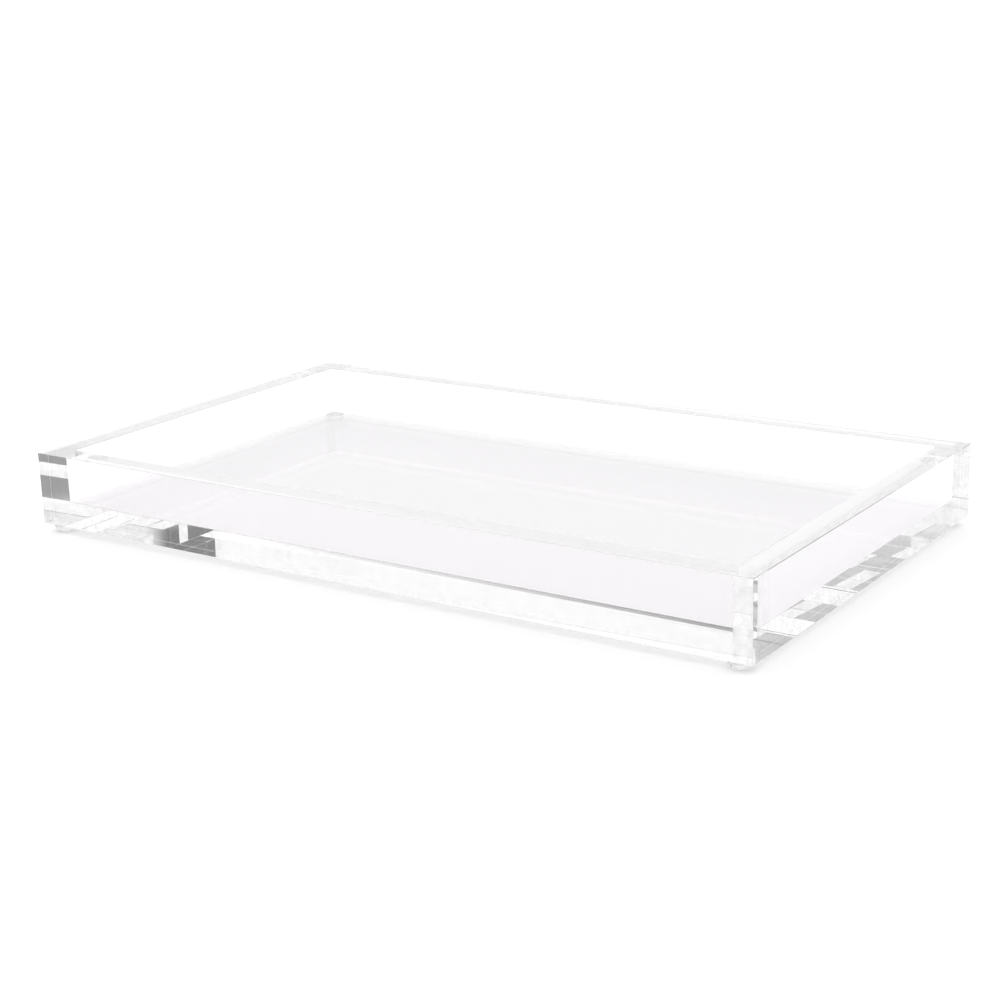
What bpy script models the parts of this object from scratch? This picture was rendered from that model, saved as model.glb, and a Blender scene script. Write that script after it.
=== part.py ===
"""Clear acrylic vanity tray: five cemented sheets standing on four self-adhesive dome bumpers.

Lengths are in metres and +Z is up. The tray is long in X and deep in Y, with its front at -Y. The
origin lies under the middle of the tray, on the surface that the bumpers stand on.
"""

import math

import bmesh
import bpy

# Tray, outside sizes
TRAY_LENGTH = 0.370
TRAY_DEPTH = 0.215
WALL_HEIGHT = 0.034

# Sheet stock
WALL_THICKNESS = 0.012
BASE_THICKNESS = 0.010
EDGE_ROUND = 0.0005
EDGE_SEGMENTS = 2

# Bumpers: a short straight skirt, then a dome that ends in the small flat it stands on
BUMPER_RADIUS = 0.00475
BUMPER_HEIGHT = 0.0032
BUMPER_SKIRT = 0.0008
BUMPER_CONTACT_RADIUS = 0.0018
BUMPER_TOP_ROUND = 0.0002
DOME_STEPS = 8
ROUND_SIDES = 40

# How far a bumper's side stays in from the tray's ends and from its long faces
BUMPER_END_MARGIN = 0.00325
BUMPER_SIDE_MARGIN = 0.00075

# Adhesive film between a bumper and the underside
FILM_SETBACK = 0.00045
FILM_THICKNESS = 0.0002

# Clearance between pieces that touch
JOINT_GAP = 0.0003

# Heights above the supporting surface
FILM_BOTTOM = BUMPER_HEIGHT + JOINT_GAP
UNDERSIDE = FILM_BOTTOM + FILM_THICKNESS + JOINT_GAP
RIM = UNDERSIDE + WALL_HEIGHT
FLOOR = UNDERSIDE + BASE_THICKNESS

# Plan sizes that follow from the walls
HALF_LENGTH = TRAY_LENGTH / 2
HALF_DEPTH = TRAY_DEPTH / 2
INNER_HALF_LENGTH = HALF_LENGTH - WALL_THICKNESS
INNER_HALF_DEPTH = HALF_DEPTH - WALL_THICKNESS
BUMPER_X = HALF_LENGTH - BUMPER_END_MARGIN - BUMPER_RADIUS
BUMPER_Y = HALF_DEPTH - BUMPER_SIDE_MARGIN - BUMPER_RADIUS
FILM_RADIUS = BUMPER_RADIUS - FILM_SETBACK

# Which way along X or Y a face of a sheet looks from the middle of the tray
NEGATIVE = -1
POSITIVE = 1


def clear_scene():
    """Remove every object of the open scene."""
    for obj in list(bpy.data.objects):
        bpy.data.objects.remove(obj, do_unlink=True)


def make_material(name, color, roughness, alpha=1.0):
    """Return a non-metallic Principled material."""
    material = bpy.data.materials.new(name)
    material.use_nodes = True
    shader = material.node_tree.nodes["Principled BSDF"]
    shader.inputs["Base Color"].default_value = (*color, 1.0)
    shader.inputs["Roughness"].default_value = roughness
    shader.inputs["Metallic"].default_value = 0.0
    shader.inputs["Alpha"].default_value = alpha
    material.diffuse_color = (*color, alpha)
    return material


def link_mesh(name, mesh_data, material):
    """Turn a finished bmesh into a scene object that carries one material."""
    mesh = bpy.data.meshes.new(name)
    bmesh.ops.recalc_face_normals(mesh_data, faces=mesh_data.faces)
    mesh_data.to_mesh(mesh)
    mesh_data.free()
    mesh.materials.append(material)
    obj = bpy.data.objects.new(name, mesh)
    bpy.context.scene.collection.objects.link(obj)
    return obj


def box_between(low, high):
    """Return a bmesh box that reaches from the corner low to the corner high."""
    solid = bmesh.new()
    bmesh.ops.create_cube(solid, size=1.0)
    for vertex in solid.verts:
        for axis in range(3):
            share = vertex.co[axis] + 0.5
            vertex.co[axis] = low[axis] + share * (high[axis] - low[axis])
    return solid


def edges_where(solid, test):
    """Return the edges whose midpoint passes the test."""
    chosen = []
    for edge in solid.edges:
        midpoint = (edge.verts[0].co + edge.verts[1].co) / 2
        if test(midpoint):
            chosen.append(edge)
    return chosen


def round_edges(solid, edges):
    """Give the edges the small radius that polishing leaves."""
    bmesh.ops.bevel(
        solid,
        geom=edges,
        offset=EDGE_ROUND,
        offset_type="OFFSET",
        segments=EDGE_SEGMENTS,
        profile=0.5,
        affect="EDGES",
    )


def near(value, target):
    """Say whether two lengths agree to well under any gap in the model."""
    return abs(value - target) < JOINT_GAP / 10


def long_wall(name, side, material):
    """Make the front or back wall, which runs the tray's whole length."""
    outer = side * HALF_DEPTH
    inner = side * INNER_HALF_DEPTH
    low = (-HALF_LENGTH, min(outer, inner), UNDERSIDE)
    high = (HALF_LENGTH, max(outer, inner), RIM)
    solid = box_between(low, high)
    round_edges(solid, edges_where(solid, lambda point: not near(point.y, inner)))
    return link_mesh(name, solid, material)


def end_wall(name, side, material):
    """Make the left or right wall, which is cemented between the two long walls."""
    outer = side * HALF_LENGTH
    inner = side * INNER_HALF_LENGTH
    reach = INNER_HALF_DEPTH - JOINT_GAP
    low = (min(outer, inner), -reach, UNDERSIDE)
    high = (max(outer, inner), reach, RIM)
    solid = box_between(low, high)

    def along_outer_face(point):
        return near(point.x, outer) and near(point.y, 0.0)

    round_edges(solid, edges_where(solid, along_outer_face))
    return link_mesh(name, solid, material)


def base_plate(name, material):
    """Make the base, which is let in between the four walls with its underside flush with theirs."""
    reach_x = INNER_HALF_LENGTH - JOINT_GAP
    reach_y = INNER_HALF_DEPTH - JOINT_GAP
    solid = box_between((-reach_x, -reach_y, UNDERSIDE), (reach_x, reach_y, FLOOR))
    return link_mesh(name, solid, material)


def turned_solid(profile):
    """Spin a profile of (radius, height) points, from axis to axis, into a closed solid round Z."""
    solid = bmesh.new()
    points = [solid.verts.new((radius, 0.0, height)) for radius, height in profile]
    edges = [solid.edges.new(pair) for pair in zip(points, points[1:])]
    bmesh.ops.spin(
        solid,
        geom=points + edges,
        cent=(0.0, 0.0, 0.0),
        axis=(0.0, 0.0, 1.0),
        steps=ROUND_SIDES,
        angle=math.tau,
    )
    bmesh.ops.remove_doubles(solid, verts=solid.verts, dist=1e-6)
    return solid


def arc(center, radius, start, end, steps):
    """Return points on an arc from the start angle to the end angle, both points included."""
    angles = [start + (end - start) * step / steps for step in range(steps + 1)]
    return [(center[0] + radius * math.cos(a), center[1] + radius * math.sin(a)) for a in angles]


def bumper_profile():
    """Return half a bumper's outline from its top centre, down its side, to its bottom centre."""
    skirt_bottom = BUMPER_HEIGHT - BUMPER_SKIRT
    shoulder = (BUMPER_RADIUS - BUMPER_TOP_ROUND, BUMPER_HEIGHT - BUMPER_TOP_ROUND)
    top_edge = arc(shoulder, BUMPER_TOP_ROUND, math.pi / 2, 0.0, 2)
    # The dome's circle passes through the skirt's lower edge and the rim of the contact flat.
    chord = BUMPER_RADIUS**2 - BUMPER_CONTACT_RADIUS**2
    center_height = (chord + skirt_bottom**2) / (2 * skirt_bottom)
    dome_radius = math.hypot(BUMPER_CONTACT_RADIUS, center_height)
    start = math.atan2(skirt_bottom - center_height, BUMPER_RADIUS)
    end = math.atan2(-center_height, BUMPER_CONTACT_RADIUS)
    dome = arc((0.0, center_height), dome_radius, start, end, DOME_STEPS)
    return [(0.0, BUMPER_HEIGHT)] + top_edge + dome + [(0.0, 0.0)]


def bumper_places():
    """Yield each corner's name and the centre of its bumper in plan."""
    for end_name, end_side in (("left", NEGATIVE), ("right", POSITIVE)):
        for side_name, long_side in (("front", NEGATIVE), ("back", POSITIVE)):
            yield f"{side_name}_{end_name}", end_side * BUMPER_X, long_side * BUMPER_Y


def shade_round(obj):
    """Shade a turned piece smooth, with its sharp corners kept."""
    obj.data.shade_smooth()
    obj.data.set_sharp_from_angle(angle=math.radians(40))


def bumper(name, x, y, material):
    """Make one dome bumper with its foot on the supporting surface."""
    obj = link_mesh(name, turned_solid(bumper_profile()), material)
    obj.location = (x, y, 0.0)
    shade_round(obj)
    return obj


def adhesive_film(name, x, y, material):
    """Make the thin disc of adhesive that holds one bumper to the underside."""
    profile = [(0.0, FILM_THICKNESS), (FILM_RADIUS, FILM_THICKNESS), (FILM_RADIUS, 0.0), (0.0, 0.0)]
    obj = link_mesh(name, turned_solid(profile), material)
    obj.location = (x, y, FILM_BOTTOM)
    shade_round(obj)
    return obj


def build():
    """Make every piece of the tray."""
    clear_scene()
    acrylic = make_material("clear_acrylic", (0.93, 0.92, 0.93), 0.03, alpha=0.3)
    rubber = make_material("bumper_rubber", (0.86, 0.86, 0.85), 0.25, alpha=0.5)
    adhesive = make_material("adhesive_film", (0.80, 0.79, 0.76), 0.45, alpha=0.6)
    base_plate("base_plate", acrylic)
    long_wall("front_wall", NEGATIVE, acrylic)
    long_wall("back_wall", POSITIVE, acrylic)
    end_wall("left_wall", NEGATIVE, acrylic)
    end_wall("right_wall", POSITIVE, acrylic)
    for corner, x, y in bumper_places():
        bumper(f"bumper_{corner}", x, y, rubber)
        adhesive_film(f"adhesive_{corner}", x, y, adhesive)


build()
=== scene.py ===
"""Finished model of a clear acrylic vanity tray, its bumpers and a plain white studio.

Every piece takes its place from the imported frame. Lengths are in metres and +Z is up.
"""

import logging
import math
from collections.abc import Iterable
from dataclasses import dataclass, field
from enum import Enum, IntEnum

import bmesh
import bpy
from mathutils import Matrix, Vector


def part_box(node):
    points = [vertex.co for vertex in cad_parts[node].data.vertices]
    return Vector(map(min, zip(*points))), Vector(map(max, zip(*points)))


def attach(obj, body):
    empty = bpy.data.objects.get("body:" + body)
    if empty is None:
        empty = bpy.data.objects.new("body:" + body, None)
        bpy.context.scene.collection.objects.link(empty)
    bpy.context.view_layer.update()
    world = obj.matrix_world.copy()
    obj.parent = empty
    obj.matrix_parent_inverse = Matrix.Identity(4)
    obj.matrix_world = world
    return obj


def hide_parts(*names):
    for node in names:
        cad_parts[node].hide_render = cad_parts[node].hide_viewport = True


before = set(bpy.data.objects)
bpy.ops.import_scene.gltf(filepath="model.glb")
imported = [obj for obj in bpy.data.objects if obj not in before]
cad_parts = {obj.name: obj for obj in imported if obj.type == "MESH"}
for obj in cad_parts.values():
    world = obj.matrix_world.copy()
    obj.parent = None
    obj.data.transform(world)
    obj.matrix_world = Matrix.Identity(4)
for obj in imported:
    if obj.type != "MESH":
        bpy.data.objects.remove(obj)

LOG = logging.getLogger("vanity_tray")

# Nearness of points and lengths that count as the same
ON_PLANE = 1e-6
SAME_LENGTH = 1e-5
MERGE_BEFORE_BEVEL = 1e-7
MERGE_AFTER_BEVEL = 3e-6

# Sizes of a unit normal's part that count as level, square to an axis, and exactly flat
LEVEL_NORMAL = 0.5
SQUARE_NORMAL = 0.999
FLAT_NORMAL = 0.99999
FLAT_ANGLE = math.radians(5)

# Cycles paths long enough to follow light along inside the sheets
LIGHT_BOUNCES = 40
CLEAR_BOUNCES = 64

WHITE = (1.0, 1.0, 1.0, 1.0)

Point = tuple[float, float, float]
Color = tuple[float, float, float]
Span = tuple[float, float]
Value = bpy.types.NodeSocket | float


class Slot(Enum):
    """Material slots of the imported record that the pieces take."""

    ACRYLIC = "clear_acrylic"
    RUBBER = "bumper_rubber"
    FILM = "adhesive_film"


class Sheet(Enum):
    """CAD nodes of the five sheets."""

    FRONT = "front_wall"
    BACK = "back_wall"
    LEFT = "left_wall"
    RIGHT = "right_wall"
    BASE = "base_plate"


class Layer(Enum):
    """Place of a finish in the material list of a sheet."""

    POLISHED = 0
    CEMENTED = 1
    # Painted dark reflection line at the top of the front joint
    REFLECTION_LINE = 2


class Side(IntEnum):
    """Which way along an axis a wall stands from the middle of the tray."""

    NEGATIVE = -1
    POSITIVE = 1


class Painter:
    """Adds and joins nodes in one node tree."""

    def __init__(self, tree: bpy.types.NodeTree) -> None:
        """Keep the tree to add to."""
        self.tree = tree

    def add(self, kind: str, **values: object) -> bpy.types.Node:
        """Add a node and set its plain properties.

        Args:
            kind: type name of the node.
            **values: properties to set on it.

        Returns:
            The new node.
        """
        node = self.tree.nodes.new(kind)
        for key, value in values.items():
            setattr(node, key, value)
        return node

    def feed(self, socket: bpy.types.NodeSocket, value: Value) -> None:
        """Give an input a number, or join another node's output to it.

        Args:
            socket: the input.
            value: the number or the output.
        """
        if isinstance(value, bpy.types.NodeSocket):
            self.tree.links.new(value, socket)
        else:
            socket.default_value = value

    def math(self, operation: str, *values: Value, clamp: bool = False) -> bpy.types.NodeSocket:
        """Add a Math node.

        Args:
            operation: the node's operation.
            *values: a socket or a number for each input.
            clamp: whether the result stays within 0 and 1.

        Returns:
            The node's output.
        """
        node = self.add("ShaderNodeMath", operation=operation, use_clamp=clamp)
        for socket, value in zip(node.inputs, values):
            self.feed(socket, value)
        return node.outputs[0]

    def spread(self, value: Value, source: Span, target: Span) -> bpy.types.NodeSocket:
        """Map a value evenly from one span onto another.

        Args:
            value: the value to map.
            source: the span that it comes from.
            target: the span that it goes to.

        Returns:
            The mapped value, held within the target.
        """
        node = self.add("ShaderNodeMapRange")
        self.feed(node.inputs["Value"], value)
        for key, number in zip(("From Min", "From Max", "To Min", "To Max"), source + target):
            node.inputs[key].default_value = number
        return node.outputs["Result"]

    def rise(self, value: Value, span: Span) -> bpy.types.NodeSocket:
        """Rise from 0 to 1 over a span, with smooth ends.

        Args:
            value: the value that is compared with the span.
            span: where the rise begins and ends.

        Returns:
            The risen value.
        """
        node = self.add("ShaderNodeMapRange", interpolation_type="SMOOTHSTEP")
        self.feed(node.inputs["Value"], value)
        node.inputs["From Min"].default_value = span[0]
        node.inputs["From Max"].default_value = span[1]
        return node.outputs["Result"]

    def step(self, value: Value, middle: float, edge: float) -> bpy.types.NodeSocket:
        """Rise from 0 to 1 about a value, over twice the edge's width."""
        return self.rise(value, (middle - edge, middle + edge))

    def window(self, value: Value, span: Span, edge: float) -> bpy.types.NodeSocket:
        """Give 1 inside a span and 0 outside it, with soft edges."""
        low, high = span
        return self.math("SUBTRACT", self.step(value, low, edge), self.step(value, high, edge))

    def noise(self, vector: Value, scale: Value, detail: float) -> bpy.types.NodeSocket:
        """Add a Noise Texture.

        Args:
            vector: the coordinates.
            scale: a socket or a number, per metre.
            detail: number of finer octaves.

        Returns:
            The Fac output, about 0.5 on average.
        """
        node = self.add("ShaderNodeTexNoise")
        self.feed(node.inputs["Vector"], vector)
        self.feed(node.inputs["Scale"], scale)
        node.inputs["Detail"].default_value = detail
        return node.outputs["Fac"]


class NodeGroup(Painter):
    """A shader node group with a Vector input, and number inputs and outputs by name."""

    def __init__(self, name: str, inputs: dict[str, float], outputs: Iterable[str]) -> None:
        """Make a group with nothing between its ends.

        Args:
            name: name of the group.
            inputs: each number input and its usual value.
            outputs: names of the number outputs.
        """
        super().__init__(bpy.data.node_groups.new(name, "ShaderNodeTree"))
        sockets = self.tree.interface
        vector = sockets.new_socket("Vector", in_out="INPUT", socket_type="NodeSocketVector")
        vector.hide_value = True
        for key, value in inputs.items():
            socket = sockets.new_socket(key, in_out="INPUT", socket_type="NodeSocketFloat")
            socket.default_value = value
        for key in outputs:
            sockets.new_socket(key, in_out="OUTPUT", socket_type="NodeSocketFloat")
        self.source = self.add("NodeGroupInput").outputs
        self.sink = self.add("NodeGroupOutput").inputs


@dataclass(frozen=True)
class PolishMarks:
    """Marks of polishing and handling on a clear surface."""

    smear_scale: float = 35.0
    smear_detail: float = 4.0
    smear_span: Span = (0.50, 0.78)
    stroke_turn: Point = (0.3, 0.2, 0.9)
    stroke_scale: Point = (900.0, 14.0, 60.0)
    stroke_detail: float = 2.0
    stroke_span: Span = (0.66, 0.74)
    swell_detail: float = 1.0

    def build(self) -> bpy.types.NodeTree:
        """Build the group.

        Returns:
            A group whose Haze output is higher on wipe marks and hairlines, and whose Height
            output is the gentle swell of cast sheet.
        """
        inputs = {"Swell Scale": 18.0, "Hairlines": 0.5}
        group = NodeGroup("polish_marks", inputs, ("Haze", "Height"))
        place = group.source["Vector"]
        smear = group.rise(group.noise(place, self.smear_scale, self.smear_detail), self.smear_span)
        stretch = group.add("ShaderNodeMapping")
        group.feed(stretch.inputs["Vector"], place)
        stretch.inputs["Rotation"].default_value = self.stroke_turn
        stretch.inputs["Scale"].default_value = self.stroke_scale
        stroke = group.noise(stretch.outputs["Vector"], 1.0, self.stroke_detail)
        hairline = group.rise(stroke, self.stroke_span)
        lines = group.math("MULTIPLY", hairline, group.source["Hairlines"])
        group.feed(group.sink["Haze"], group.math("MAXIMUM", smear, lines, clamp=True))
        swell = group.noise(place, group.source["Swell Scale"], self.swell_detail)
        group.feed(group.sink["Height"], swell)
        return group.tree


@dataclass(frozen=True)
class TrappedBubbles:
    """Bubbles and haze left where two clear surfaces are wetted together."""

    patch_scale: float = 90.0
    patch_detail: float = 2.0
    patch_span: Span = (0.52, 0.70)
    streak_scale: float = 240.0
    streak_detail: float = 3.0
    streak_span: Span = (0.35, 0.75)

    def build(self) -> bpy.types.NodeTree:
        """Build the group.

        Returns:
            A group whose Cover output is high on tiny round bubbles and low elsewhere.
        """
        inputs = {"Scale": 900.0, "Size": 0.12, "Haze": 0.03}
        group = NodeGroup("trapped_bubbles", inputs, ("Cover",))
        place = group.source["Vector"]
        cells = group.add("ShaderNodeTexVoronoi")
        group.feed(cells.inputs["Vector"], place)
        group.feed(cells.inputs["Scale"], group.source["Scale"])
        inside = group.math("LESS_THAN", cells.outputs["Distance"], group.source["Size"])
        patch = group.rise(group.noise(place, self.patch_scale, self.patch_detail), self.patch_span)
        specks = group.math("MULTIPLY", inside, patch)
        streak = group.noise(place, self.streak_scale, self.streak_detail)
        film = group.math("MULTIPLY", group.rise(streak, self.streak_span), group.source["Haze"])
        group.feed(group.sink["Cover"], group.math("MAXIMUM", specks, film, clamp=True))
        return group.tree


@dataclass(frozen=True)
class Effects:
    """The node groups that the finishes share."""

    marks: bpy.types.NodeTree
    bubbles: bpy.types.NodeTree


class MaterialMaker(Painter):
    """Adds the nodes of one Principled material."""

    def __init__(self, name: str) -> None:
        """Start a material that holds one Principled shader and Object coordinates.

        Args:
            name: name of the material.
        """
        self.material = bpy.data.materials.new(name)
        self.material.use_nodes = True
        super().__init__(self.material.node_tree)
        self.shader = self.tree.nodes["Principled BSDF"]
        self.place = self.add("ShaderNodeTexCoord").outputs["Object"]

    def set(self, **values: object) -> None:
        """Set the shader's sockets, with _ for each space in a name."""
        for key, value in values.items():
            self.shader.inputs[key.replace("_", " ")].default_value = value

    def clear(self, tint: Color, refraction: float) -> None:
        """Make the shader a clear solid that light passes through and bends in."""
        self.set(Base_Color=(*tint, 1.0), IOR=refraction, Transmission_Weight=1.0, Metallic=0.0)

    def plain(self, color: Color, roughness: float) -> None:
        """Make the shader a plain opaque surface, which its Alpha may thin."""
        self.set(Base_Color=(*color, 1.0), Roughness=roughness, Metallic=0.0)

    def group(self, tree: bpy.types.NodeTree, **values: float) -> bpy.types.bpy_prop_collection:
        """Place a node group on Object coordinates.

        Args:
            tree: the group.
            **values: its inputs, with _ for each space in a name.

        Returns:
            The group's outputs.
        """
        node = self.add("ShaderNodeGroup", node_tree=tree)
        self.feed(node.inputs["Vector"], self.place)
        for key, value in values.items():
            node.inputs[key.replace("_", " ")].default_value = value
        return node.outputs

    def remap(self, source: Value, low: float, high: float, target: str) -> None:
        """Feed a shader socket with a 0..1 value spread over low..high."""
        self.feed(self.shader.inputs[target], self.spread(source, (0.0, 1.0), (low, high)))

    def bump(self, height: Value, depth: float) -> None:
        """Feed the shader's Normal with a height.

        Args:
            height: the height, from 0 to 1.
            depth: how many metres it spans.
        """
        node = self.add("ShaderNodeBump")
        node.inputs["Strength"].default_value = 1.0
        node.inputs["Distance"].default_value = depth
        self.feed(node.inputs["Height"], height)
        self.feed(self.shader.inputs["Normal"], node.outputs["Normal"])


@dataclass(frozen=True)
class MarkedFinish:
    """A clear solid whose surface carries polish marks and a gentle swell."""

    name: str
    tint: Color
    refraction: float
    clean_roughness: float
    marked_roughness: float
    hairlines: float
    swell_scale: float
    swell_depth: float

    def make(self, effects: Effects) -> bpy.types.Material:
        """Build the material.

        Args:
            effects: the shared node groups.

        Returns:
            The finished material.
        """
        maker = MaterialMaker(self.name)
        maker.clear(self.tint, self.refraction)
        marks = maker.group(effects.marks, Swell_Scale=self.swell_scale, Hairlines=self.hairlines)
        maker.remap(marks["Haze"], self.clean_roughness, self.marked_roughness, "Roughness")
        maker.bump(marks["Height"], self.swell_depth)
        return maker.material


@dataclass(frozen=True)
class AcrylicFinish(MarkedFinish):
    """Polished cast acrylic, clear right through."""

    name: str = "polished_acrylic"
    tint: Color = (0.992, 0.982, 0.992)
    refraction: float = 1.49
    clean_roughness: float = 0.0
    marked_roughness: float = 0.015
    hairlines: float = 0.35
    swell_scale: float = 16.0
    swell_depth: float = 2.0e-6


@dataclass(frozen=True)
class RubberFinish(MarkedFinish):
    """Soft clear polyurethane of the bumpers."""

    name: str = "clear_polyurethane"
    tint: Color = (0.86, 0.86, 0.855)
    refraction: float = 1.49
    clean_roughness: float = 0.03
    marked_roughness: float = 0.28
    hairlines: float = 0.3
    swell_scale: float = 350.0
    swell_depth: float = 1.5e-5


@dataclass(frozen=True)
class FilmFinish:
    """Clear adhesive with a few trapped bubbles."""

    tint: Color = (0.97, 0.968, 0.96)
    refraction: float = 1.47
    clear: float = 0.02
    bubbled: float = 0.6
    bubble_scale: float = 1400.0
    bubble_size: float = 0.30
    haze: float = 0.25

    def make(self, effects: Effects) -> bpy.types.Material:
        """Build the material.

        Args:
            effects: the shared node groups.

        Returns:
            The finished material.
        """
        maker = MaterialMaker("clear_adhesive")
        maker.clear(self.tint, self.refraction)
        bubbles = maker.group(
            effects.bubbles, Scale=self.bubble_scale, Size=self.bubble_size, Haze=self.haze
        )
        maker.remap(bubbles["Cover"], self.clear, self.bubbled, "Roughness")
        return maker.material


@dataclass(frozen=True)
class BondFinish:
    """Two clear surfaces wetted together, with bubbles, and a grey haze that is painted shade of
    the walls' shadow.
    """

    name: str
    # Grey haze, where set: painted shade standing in for the walls' shadow on the table below
    haze: float = 0.0
    color: Color = (0.45, 0.45, 0.46)
    roughness: float = 0.4
    bubble_scale: float = 900.0
    bubble_size: float = 0.12

    def make(self, effects: Effects) -> bpy.types.Material:
        """Build the material.

        Args:
            effects: the shared node groups.

        Returns:
            The finished material.
        """
        maker = MaterialMaker(self.name)
        maker.plain(self.color, self.roughness)
        bubbles = maker.group(
            effects.bubbles, Scale=self.bubble_scale, Size=self.bubble_size, Haze=self.haze
        )
        maker.remap(bubbles["Cover"], 0.0, 1.0, "Alpha")
        return maker.material


@dataclass(frozen=True)
class ReflectionLineFinish:
    """Top of the front joint, painted dark as a reflection of a dark region, darker towards the
    right end.
    """

    # Colour of the painted dark reflection
    color: Color = (0.16, 0.16, 0.17)
    roughness: float = 0.4
    span: Span = (-0.06, 0.16)
    cover: Span = (0.03, 0.62)
    bubble_scale: float = 1500.0
    bubble_size: float = 0.15
    haze: float = 0.12

    def make(self, effects: Effects) -> bpy.types.Material:
        """Build the material.

        Args:
            effects: the shared node groups.

        Returns:
            The finished material.
        """
        maker = MaterialMaker("reflection_line_joint")
        maker.plain(self.color, self.roughness)
        split = maker.add("ShaderNodeSeparateXYZ")
        maker.feed(split.inputs["Vector"], maker.place)
        along = maker.spread(split.outputs["X"], self.span, self.cover)
        bubbles = maker.group(
            effects.bubbles, Scale=self.bubble_scale, Size=self.bubble_size, Haze=self.haze
        )
        maker.remap(maker.math("MAXIMUM", along, bubbles["Cover"]), 0.0, 1.0, "Alpha")
        return maker.material


def link_piece(
    name: str, solid: bmesh.types.BMesh, materials: list[bpy.types.Material]
) -> bpy.types.Object:
    """Turn a finished bmesh into an object at the origin.

    Args:
        name: name of the piece.
        solid: its mesh, in place.
        materials: its materials, in slot order.

    Returns:
        The new object.
    """
    mesh = bpy.data.meshes.new(name)
    solid.to_mesh(mesh)
    solid.free()
    for material in materials:
        mesh.materials.append(material)
    piece = bpy.data.objects.new(name, mesh)
    bpy.context.scene.collection.objects.link(piece)
    return piece


def close_to(value: float, target: float) -> bool:
    """Say whether two lengths are the same but for rounding."""
    return abs(value - target) < SAME_LENGTH


def is_level(face: bmesh.types.BMFace) -> bool:
    """Say whether a face looks up or down."""
    return abs(face.normal.z) > LEVEL_NORMAL


def cut_away(solid: bmesh.types.BMesh, point: Point, normal: Point) -> None:
    """Cut the mesh by a plane, drop what lies on the normal's side and close the cut.

    Args:
        solid: the mesh to cut.
        point: a point on the plane.
        normal: the way that is dropped.
    """
    everything = solid.verts[:] + solid.edges[:] + solid.faces[:]
    bmesh.ops.bisect_plane(
        solid, geom=everything, dist=ON_PLANE, plane_co=point, plane_no=normal, clear_outer=True
    )
    open_edges = [edge for edge in solid.edges if edge.is_boundary]
    bmesh.ops.holes_fill(solid, edges=open_edges, sides=0)


def score(solid: bmesh.types.BMesh, point: Point, normal: Point) -> None:
    """Cut a line round the mesh by a plane without parting it.

    Args:
        solid: the mesh to score.
        point: a point on the plane.
        normal: the plane's normal.
    """
    everything = solid.verts[:] + solid.edges[:] + solid.faces[:]
    bmesh.ops.bisect_plane(
        solid, geom=everything, dist=ON_PLANE, plane_co=point, plane_no=normal
    )


def bevel(
    solid: bmesh.types.BMesh, edges: list[bmesh.types.BMEdge], width: float, segments: int
) -> None:
    """Round edges of the mesh.

    Args:
        solid: the mesh.
        edges: the edges to round.
        width: how far the rounding reaches from each edge.
        segments: number of faces across it.
    """
    bmesh.ops.bevel(
        solid,
        geom=edges,
        offset=width,
        offset_type="OFFSET",
        segments=segments,
        profile=0.5,
        affect="EDGES",
        material=-1,
        clamp_overlap=True,
    )


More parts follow.
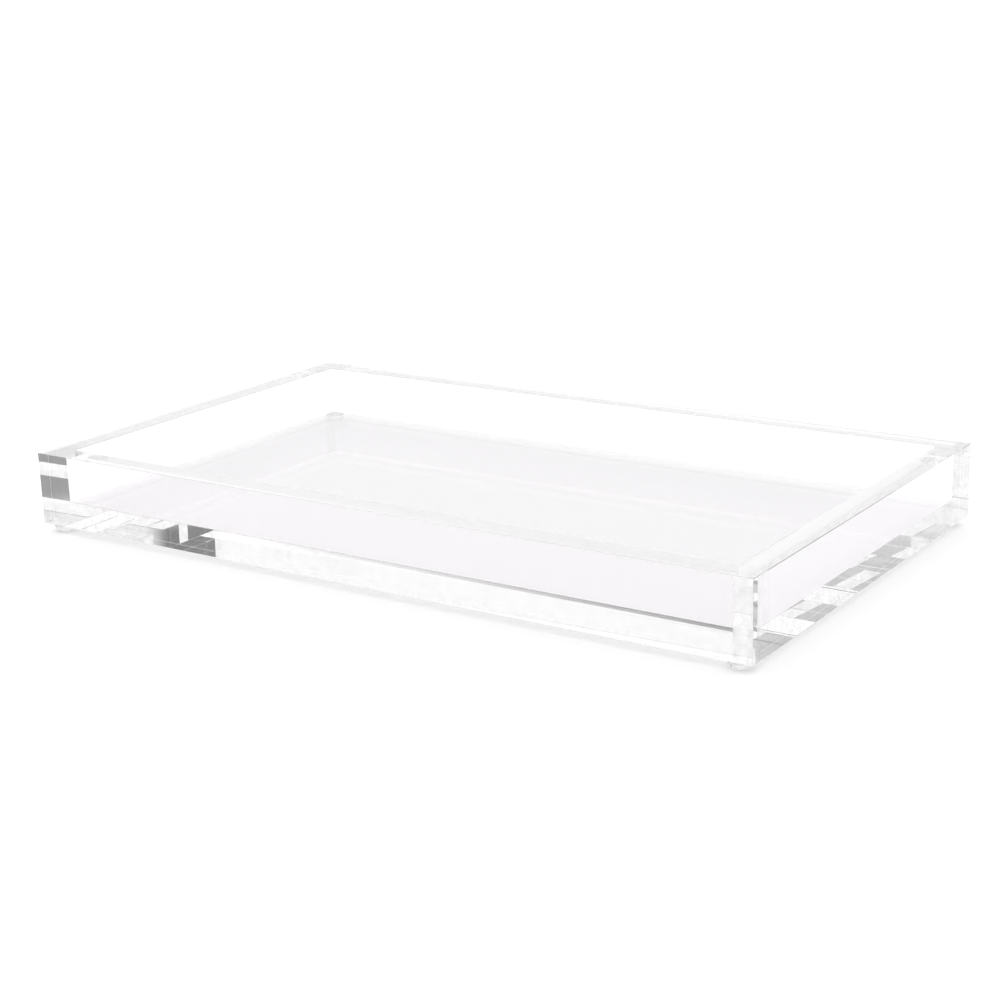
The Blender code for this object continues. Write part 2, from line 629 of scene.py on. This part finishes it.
@dataclass
class TrayBody:
    """The five cemented sheets, cut from one ring and one plate."""

    finish: AcrylicFinish
    edge_round: float = 0.00015
    edge_segments: int = 3
    seam_break: float = 0.00005
    seam_segments: int = 1
    # Height of the painted dark reflection line along the top of the front joint
    reflection_line: float = 0.0010
    bead: float = 0.0006
    bead_segments: int = 4
    # Grey haze of the back and end joints: painted shade for the walls' shadow on the table below
    back_shade: float = 0.08
    end_shade: float = 0.16
    length: float = field(init=False)
    depth: float = field(init=False)
    bottom: float = field(init=False)
    rim: float = field(init=False)
    floor: float = field(init=False)
    wall: float = field(init=False)
    inner_x: float = field(init=False)
    inner_y: float = field(init=False)

    def __post_init__(self) -> None:
        """Read the sheets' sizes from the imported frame."""
        front_low, front_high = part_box("front_wall")
        _, back_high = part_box("back_wall")
        _, base_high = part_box("base_plate")
        self.length = front_high[0] - front_low[0]
        self.depth = back_high[1] - front_low[1]
        self.bottom = front_low[2]
        self.rim = front_high[2]
        self.floor = base_high[2]
        self.wall = front_high[1] - front_low[1]
        self.inner_x = self.length / 2 - self.wall
        self.inner_y = self.depth / 2 - self.wall

    def block(self, length: float, depth: float, top: float) -> bmesh.types.BMesh:
        """Make a block that stands on the sheets' lower edges.

        Args:
            length: size in X.
            depth: size in Y.
            top: height of its upper side.

        Returns:
            The block, centred on the tray.
        """
        solid = bmesh.new()
        size = Matrix.Diagonal((length, depth, top - self.bottom, 1.0))
        middle = Matrix.Translation((0.0, 0.0, (top + self.bottom) / 2))
        bmesh.ops.create_cube(solid, size=1.0, matrix=middle @ size)
        return solid

    def ring(self) -> bmesh.types.BMesh:
        """Make the four walls as one polished ring, open above and below.

        Returns:
            The ring.
        """
        solid = self.block(self.length, self.depth, self.rim)
        caps = [face for face in solid.faces if is_level(face)]
        bmesh.ops.inset_individual(solid, faces=caps, thickness=self.wall, use_even_offset=True)
        mouths = [edge for face in caps for edge in face.edges]
        bmesh.ops.delete(solid, geom=caps, context="FACES_ONLY")
        bmesh.ops.bridge_loops(solid, edges=mouths)
        bmesh.ops.recalc_face_normals(solid, faces=solid.faces)
        bevel(solid, self.polished_edges(solid), self.edge_round, self.edge_segments)
        return solid

    def polished_edges(self, solid: bmesh.types.BMesh) -> list[bmesh.types.BMEdge]:
        """List the ring's edges that a hand can reach.

        Args:
            solid: the ring.

        Returns:
            All outer edges and the inner edges of the rim.
        """
        chosen = []
        for edge in solid.edges:
            first, second = (vert.co for vert in edge.verts)
            middle = (first + second) / 2
            at_end = close_to(abs(middle.x), self.length / 2)
            outside = at_end or close_to(abs(middle.y), self.depth / 2)
            inner_rim = close_to(first.z, second.z) and close_to(middle.z, self.rim)
            on_face = close_to(edge.calc_face_angle(0.0), 0.0)
            if (outside or inner_rim) and not on_face:
                chosen.append(edge)
        return chosen

    def joint_top(self, sheet: Sheet) -> float:
        """Give the height that a sheet's joint with its neighbour reaches."""
        return self.floor + (self.bead if sheet in (Sheet.FRONT, Sheet.BASE) else 0.0)

    def long_wall(self, sheet: Sheet, side: Side) -> bmesh.types.BMesh:
        """Cut the front or back wall from the ring.

        Args:
            sheet: the wall.
            side: which way in Y it stands.

        Returns:
            The wall, scored where its joint ends.
        """
        solid = self.ring()
        cut_away(solid, (0.0, side * self.inner_y, 0.0), (0.0, -side, 0.0))
        score(solid, (0.0, 0.0, self.joint_top(sheet)), (0.0, 0.0, 1.0))
        if sheet is Sheet.FRONT:
            score(solid, (0.0, 0.0, self.floor - self.reflection_line), (0.0, 0.0, 1.0))
        return solid

    def end_wall(self, sheet: Sheet, side: Side) -> bmesh.types.BMesh:
        """Cut the left or right wall from the ring.

        Args:
            sheet: the wall.
            side: which way in X it stands.

        Returns:
            The wall, scored where its joint ends.
        """
        solid = self.ring()
        cut_away(solid, (side * self.inner_x, 0.0, 0.0), (-side, 0.0, 0.0))
        for y_side in Side:
            cut_away(solid, (0.0, y_side * self.inner_y, 0.0), (0.0, y_side, 0.0))
        score(solid, (0.0, 0.0, self.joint_top(sheet)), (0.0, 0.0, 1.0))
        return solid

    def base(self) -> bmesh.types.BMesh:
        """Make the base plate between the walls, with a bead of cement along its front edge.

        Returns:
            The plate.
        """
        solid = self.block(self.inner_x * 2, self.inner_y * 2, self.floor)
        bead_edge = self.bead - self.inner_y
        score(solid, (0.0, bead_edge, 0.0), (0.0, 1.0, 0.0))
        slopes = [
            edge
            for vert in solid.verts
            if vert.co.y < bead_edge - ON_PLANE and close_to(vert.co.z, self.floor)
            for edge in vert.link_edges
            if abs(edge.verts[0].co.y - edge.verts[1].co.y) > ON_PLANE
        ]
        bmesh.ops.subdivide_edges(
            solid, edges=slopes, cuts=self.bead_segments, use_grid_fill=True
        )
        for vert in solid.verts:
            run = 1.0 - (vert.co.y + self.inner_y) / self.bead
            if run > 0.0 and close_to(vert.co.z, self.floor):
                vert.co.z += self.bead * (1.0 - math.sqrt(max(1.0 - run * run, 0.0)))
        return solid

    def is_bond(self, face: bmesh.types.BMFace, top: float) -> bool:
        """Say whether a face lies in one of the cemented joints.

        Args:
            face: a face of a sheet.
            top: height that the sheet's joint reaches.

        Returns:
            True in the end joints of the long walls, and against the base plate.
        """
        center = face.calc_center_median()
        facing_y = abs(face.normal.y) > SQUARE_NORMAL and close_to(abs(center.y), self.inner_y)
        facing_x = abs(face.normal.x) > SQUARE_NORMAL and close_to(abs(center.x), self.inner_x)
        if facing_y and abs(center.x) > self.inner_x:
            return True
        return (facing_x or facing_y) and center.z < top

    def layer(self, face: bmesh.types.BMFace, sheet: Sheet) -> Layer:
        """Choose a face's finish.

        Args:
            face: a face of the sheet.
            sheet: the sheet.

        Returns:
            The layer whose material the face takes.
        """
        if not self.is_bond(face, self.joint_top(sheet)):
            return Layer.POLISHED
        center = face.calc_center_median()
        # The top of the front joint takes the painted dark reflection line
        in_front = sheet is Sheet.FRONT and abs(center.x) < self.inner_x
        near_top = center.z > self.floor - self.reflection_line
        return Layer.REFLECTION_LINE if in_front and near_top else Layer.CEMENTED

    def finish_sheet(
        self, sheet: Sheet, solid: bmesh.types.BMesh, materials: list[bpy.types.Material]
    ) -> None:
        """Mark a sheet's joints, break their edges and put it in place of its CAD node.

        Args:
            sheet: the sheet.
            solid: its mesh.
            materials: its materials, in the order of the layers.
        """
        name = sheet.value
        bmesh.ops.remove_doubles(solid, verts=solid.verts, dist=MERGE_BEFORE_BEVEL)
        bmesh.ops.recalc_face_normals(solid, faces=solid.faces)
        for face in solid.faces:
            face.material_index = self.layer(face, sheet).value
        seams = [edge for edge in solid.edges if self.is_seam(edge)]
        bevel(solid, seams, self.seam_break, self.seam_segments)
        bmesh.ops.remove_doubles(solid, verts=solid.verts, dist=MERGE_AFTER_BEVEL)
        for face in solid.faces:
            face.smooth = max(abs(part) for part in face.normal) < FLAT_NORMAL
        piece = link_piece(f"{name}_sheet", solid, materials)
        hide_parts(name)
        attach(piece, "root")
        LOG.info("%s: %d faces", piece.name, len(piece.data.polygons))

    @staticmethod
    def is_seam(edge: bmesh.types.BMEdge) -> bool:
        """Say whether an edge is a corner between a joint and an open surface.

        Args:
            edge: an edge of a sheet.

        Returns:
            True where its two faces differ in finish and in direction.
        """
        if len(edge.link_faces) != 2:
            return False
        first, second = edge.link_faces
        parted = first.material_index != second.material_index
        return parted and edge.calc_face_angle(0.0) > FLAT_ANGLE

    def build(self, effects: Effects) -> None:
        """Make and dress all five sheets.

        Args:
            effects: the shared node groups.
        """
        polished = self.finish.make(effects)
        clear = [polished, BondFinish("clear_joint").make(effects), ReflectionLineFinish().make(effects)]
        # The back and end joints carry painted shade as grey haze
        lightly_shaded = [polished, BondFinish("lightly_shaded_joint", self.back_shade).make(effects)]
        shaded = [polished, BondFinish("shaded_joint", self.end_shade).make(effects)]
        self.finish_sheet(Sheet.FRONT, self.long_wall(Sheet.FRONT, Side.NEGATIVE), clear)
        self.finish_sheet(Sheet.BACK, self.long_wall(Sheet.BACK, Side.POSITIVE), lightly_shaded)
        self.finish_sheet(Sheet.LEFT, self.end_wall(Sheet.LEFT, Side.NEGATIVE), shaded)
        self.finish_sheet(Sheet.RIGHT, self.end_wall(Sheet.RIGHT, Side.POSITIVE), shaded)
        self.finish_sheet(Sheet.BASE, self.base(), clear)


@dataclass
class Feet:
    """The four dome bumpers and the films that hold them."""

    finish: RubberFinish
    film: FilmFinish
    sides: int = 64
    air: float = 0.00002
    dome_round: float = 0.0027
    dome_segments: int = 12
    top_round: float = 0.0002
    top_segments: int = 3
    corners: tuple[str, ...] = ("front_left", "front_right", "back_left", "back_right")

    def disc(self, node: str) -> bmesh.types.BMesh:
        """Make a plain disc that fills a CAD node's box, a hair short of its neighbours.

        Args:
            node: the CAD node.

        Returns:
            The disc.
        """
        low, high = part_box(node)
        solid = bmesh.new()
        middle = [(a + b) / 2 for a, b in zip(low, high)]
        radius = (high[0] - low[0]) / 2
        bmesh.ops.create_cone(
            solid,
            cap_ends=True,
            segments=self.sides,
            radius1=radius,
            radius2=radius,
            depth=high[2] - low[2] - self.air,
            matrix=Matrix.Translation(middle),
        )
        return solid

    def bumper(self, node: str) -> bmesh.types.BMesh:
        """Make one dome bumper.

        Args:
            node: its CAD node.

        Returns:
            The bumper, domed below and lightly rounded above.
        """
        solid = self.disc(node)
        lowest = min(vert.co.z for vert in solid.verts)
        for face in [face for face in solid.faces if is_level(face)]:
            if close_to(face.calc_center_median().z, lowest):
                bevel(solid, list(face.edges), self.dome_round, self.dome_segments)
            else:
                bevel(solid, list(face.edges), self.top_round, self.top_segments)
        return solid

    def hand_over(
        self,
        node: str,
        solid: bmesh.types.BMesh,
        materials: list[bpy.types.Material],
    ) -> None:
        """Put a finished piece in place of its CAD node.

        Args:
            node: the CAD node.
            solid: the piece's mesh.
            materials: its materials.
        """
        bmesh.ops.recalc_face_normals(solid, faces=solid.faces)
        for face in solid.faces:
            face.smooth = abs(face.normal.z) < FLAT_NORMAL
        piece = link_piece(f"{node}_piece", solid, materials)
        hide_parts(node)
        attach(piece, "root")
        LOG.info("%s: %d faces", piece.name, len(piece.data.polygons))

    def build(self, effects: Effects) -> None:
        """Make and dress every bumper and film.

        Args:
            effects: the shared node groups.
        """
        rubber = [self.finish.make(effects)]
        film = [self.film.make(effects)]
        for corner in self.corners:
            bumper, adhesive = f"bumper_{corner}", f"adhesive_{corner}"
            self.hand_over(bumper, self.bumper(bumper), rubber)
            self.hand_over(adhesive, self.disc(adhesive), film)


@dataclass(frozen=True)
class Flag:
    """A dark patch of the studio's surroundings, bounded by bearings and heights in degrees.

    Bearings run from the tray's back (+Y) towards its right end (+X). A negative darkness
    makes the patch brighter than the room.
    """

    bearing: Span
    height: Span
    darkness: float
    edge: float = 0.4


@dataclass
class Studio:
    """A glowing white table in a white room with darker patches round it, and the camera."""

    floor_size: float = 60.0
    floor_color: float = 0.75
    floor_roughness: float = 0.9
    floor_glow: float = 0.45
    room_light: float = 0.94
    overhead_light: float = 1.2
    overhead_from: float = 55.0
    overhead_edge: float = 15.0
    place: Point = (0.4874, -0.7097, 0.2694)
    yaw: float = 34.42
    pitch: float = 16.57
    roll: float = -1.71
    lens: float = 70.16
    sensor: float = 36.0
    clip: Span = (0.01, 100.0)
    flags: tuple[Flag, ...] = (
        Flag((46.9, 136.0), (-5.0, 15.9), 0.65),
        Flag((49.0, 136.0), (15.9, 45.0), 0.65),
        Flag((40.0, 44.9), (16.6, 45.0), 0.80),
        Flag((8.0, 26.0), (18.5, 45.0), 0.40),
        Flag((136.0, 158.0), (18.0, 45.0), 0.50),
        Flag((-160.0, -150.0), (17.5, 45.0), 0.35),
        Flag((-80.0, 5.0), (-5.0, 45.0), -0.07),
    )

    def camera(self) -> None:
        """Place the camera."""
        data = bpy.data.cameras.new("camera")
        data.lens = self.lens
        data.sensor_width = self.sensor
        data.clip_start, data.clip_end = self.clip
        camera = bpy.data.objects.new("camera", data)
        yaw, pitch = math.radians(self.yaw), math.radians(self.pitch)
        reach = math.cos(pitch)
        back = Vector((math.sin(yaw) * reach, -math.cos(yaw) * reach, math.sin(pitch)))
        level = back.to_track_quat("Z", "Y").to_matrix().to_4x4()
        tilt = Matrix.Rotation(math.radians(self.roll), 4, "Z")
        camera.matrix_world = Matrix.Translation(self.place) @ level @ tilt
        bpy.context.scene.collection.objects.link(camera)
        bpy.context.scene.camera = camera

    def floor(self) -> None:
        """Lay the glowing table top, which lets the tray be seen from below."""
        solid = bmesh.new()
        bmesh.ops.create_grid(solid, x_segments=1, y_segments=1, size=self.floor_size / 2)
        maker = MaterialMaker("studio_floor")
        shade = self.floor_color
        maker.plain((shade, shade, shade), self.floor_roughness)
        maker.set(Specular_IOR_Level=0.0)
        maker.set(Emission_Color=WHITE, Emission_Strength=self.floor_glow)
        backfacing = maker.add("ShaderNodeNewGeometry").outputs["Backfacing"]
        maker.remap(backfacing, 1.0, 0.0, "Alpha")
        link_piece("studio_floor", solid, [maker.material])

    def surroundings(self) -> None:
        """Paint the white room, with flags that only light and reflections see."""
        world = bpy.data.worlds.new("studio_room")
        world.use_nodes = True
        bpy.context.scene.world = world
        paint = Painter(world.node_tree)
        split = paint.add("ShaderNodeSeparateXYZ")
        paint.feed(split.inputs["Vector"], paint.add("ShaderNodeTexCoord").outputs["Generated"])
        east, north, up = split.outputs
        bearing = paint.math("DEGREES", paint.math("ARCTAN2", east, north))
        height = paint.math("DEGREES", paint.math("ARCSINE", up))
        overhead = paint.step(height, self.overhead_from, self.overhead_edge)
        extra = self.overhead_light - self.room_light
        light = paint.math("MULTIPLY_ADD", overhead, extra, self.room_light)
        for flag in self.flags:
            across = paint.window(bearing, flag.bearing, flag.edge)
            upward = paint.window(height, flag.height, flag.edge)
            inside = paint.math("MULTIPLY", across, upward)
            kept = paint.math("MULTIPLY_ADD", inside, -flag.darkness, 1.0)
            light = paint.math("MULTIPLY", light, kept)
        seen = paint.add("ShaderNodeLightPath").outputs["Is Camera Ray"]
        background = world.node_tree.nodes["Background"].inputs
        paint.feed(background["Strength"], paint.math("MAXIMUM", light, seen))
        background["Color"].default_value = WHITE

    def build(self) -> None:
        """Set up the camera, the table, the room and the light's paths."""
        self.camera()
        self.floor()
        self.surroundings()
        scene = bpy.context.scene
        scene.view_settings.view_transform = "Standard"
        scene.cycles.max_bounces = LIGHT_BOUNCES
        scene.cycles.transmission_bounces = LIGHT_BOUNCES
        scene.cycles.glossy_bounces = LIGHT_BOUNCES
        scene.cycles.transparent_max_bounces = CLEAR_BOUNCES


def main() -> None:
    """Build the tray and its studio."""
    logging.basicConfig(level=logging.INFO, format="%(name)s: %(message)s")
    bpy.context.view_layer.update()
    effects = Effects(PolishMarks().build(), TrappedBubbles().build())
    TrayBody(AcrylicFinish()).build(effects)
    Feet(RubberFinish(), FilmFinish()).build(effects)
    Studio().build()


if __name__ == "__main__":
    main()
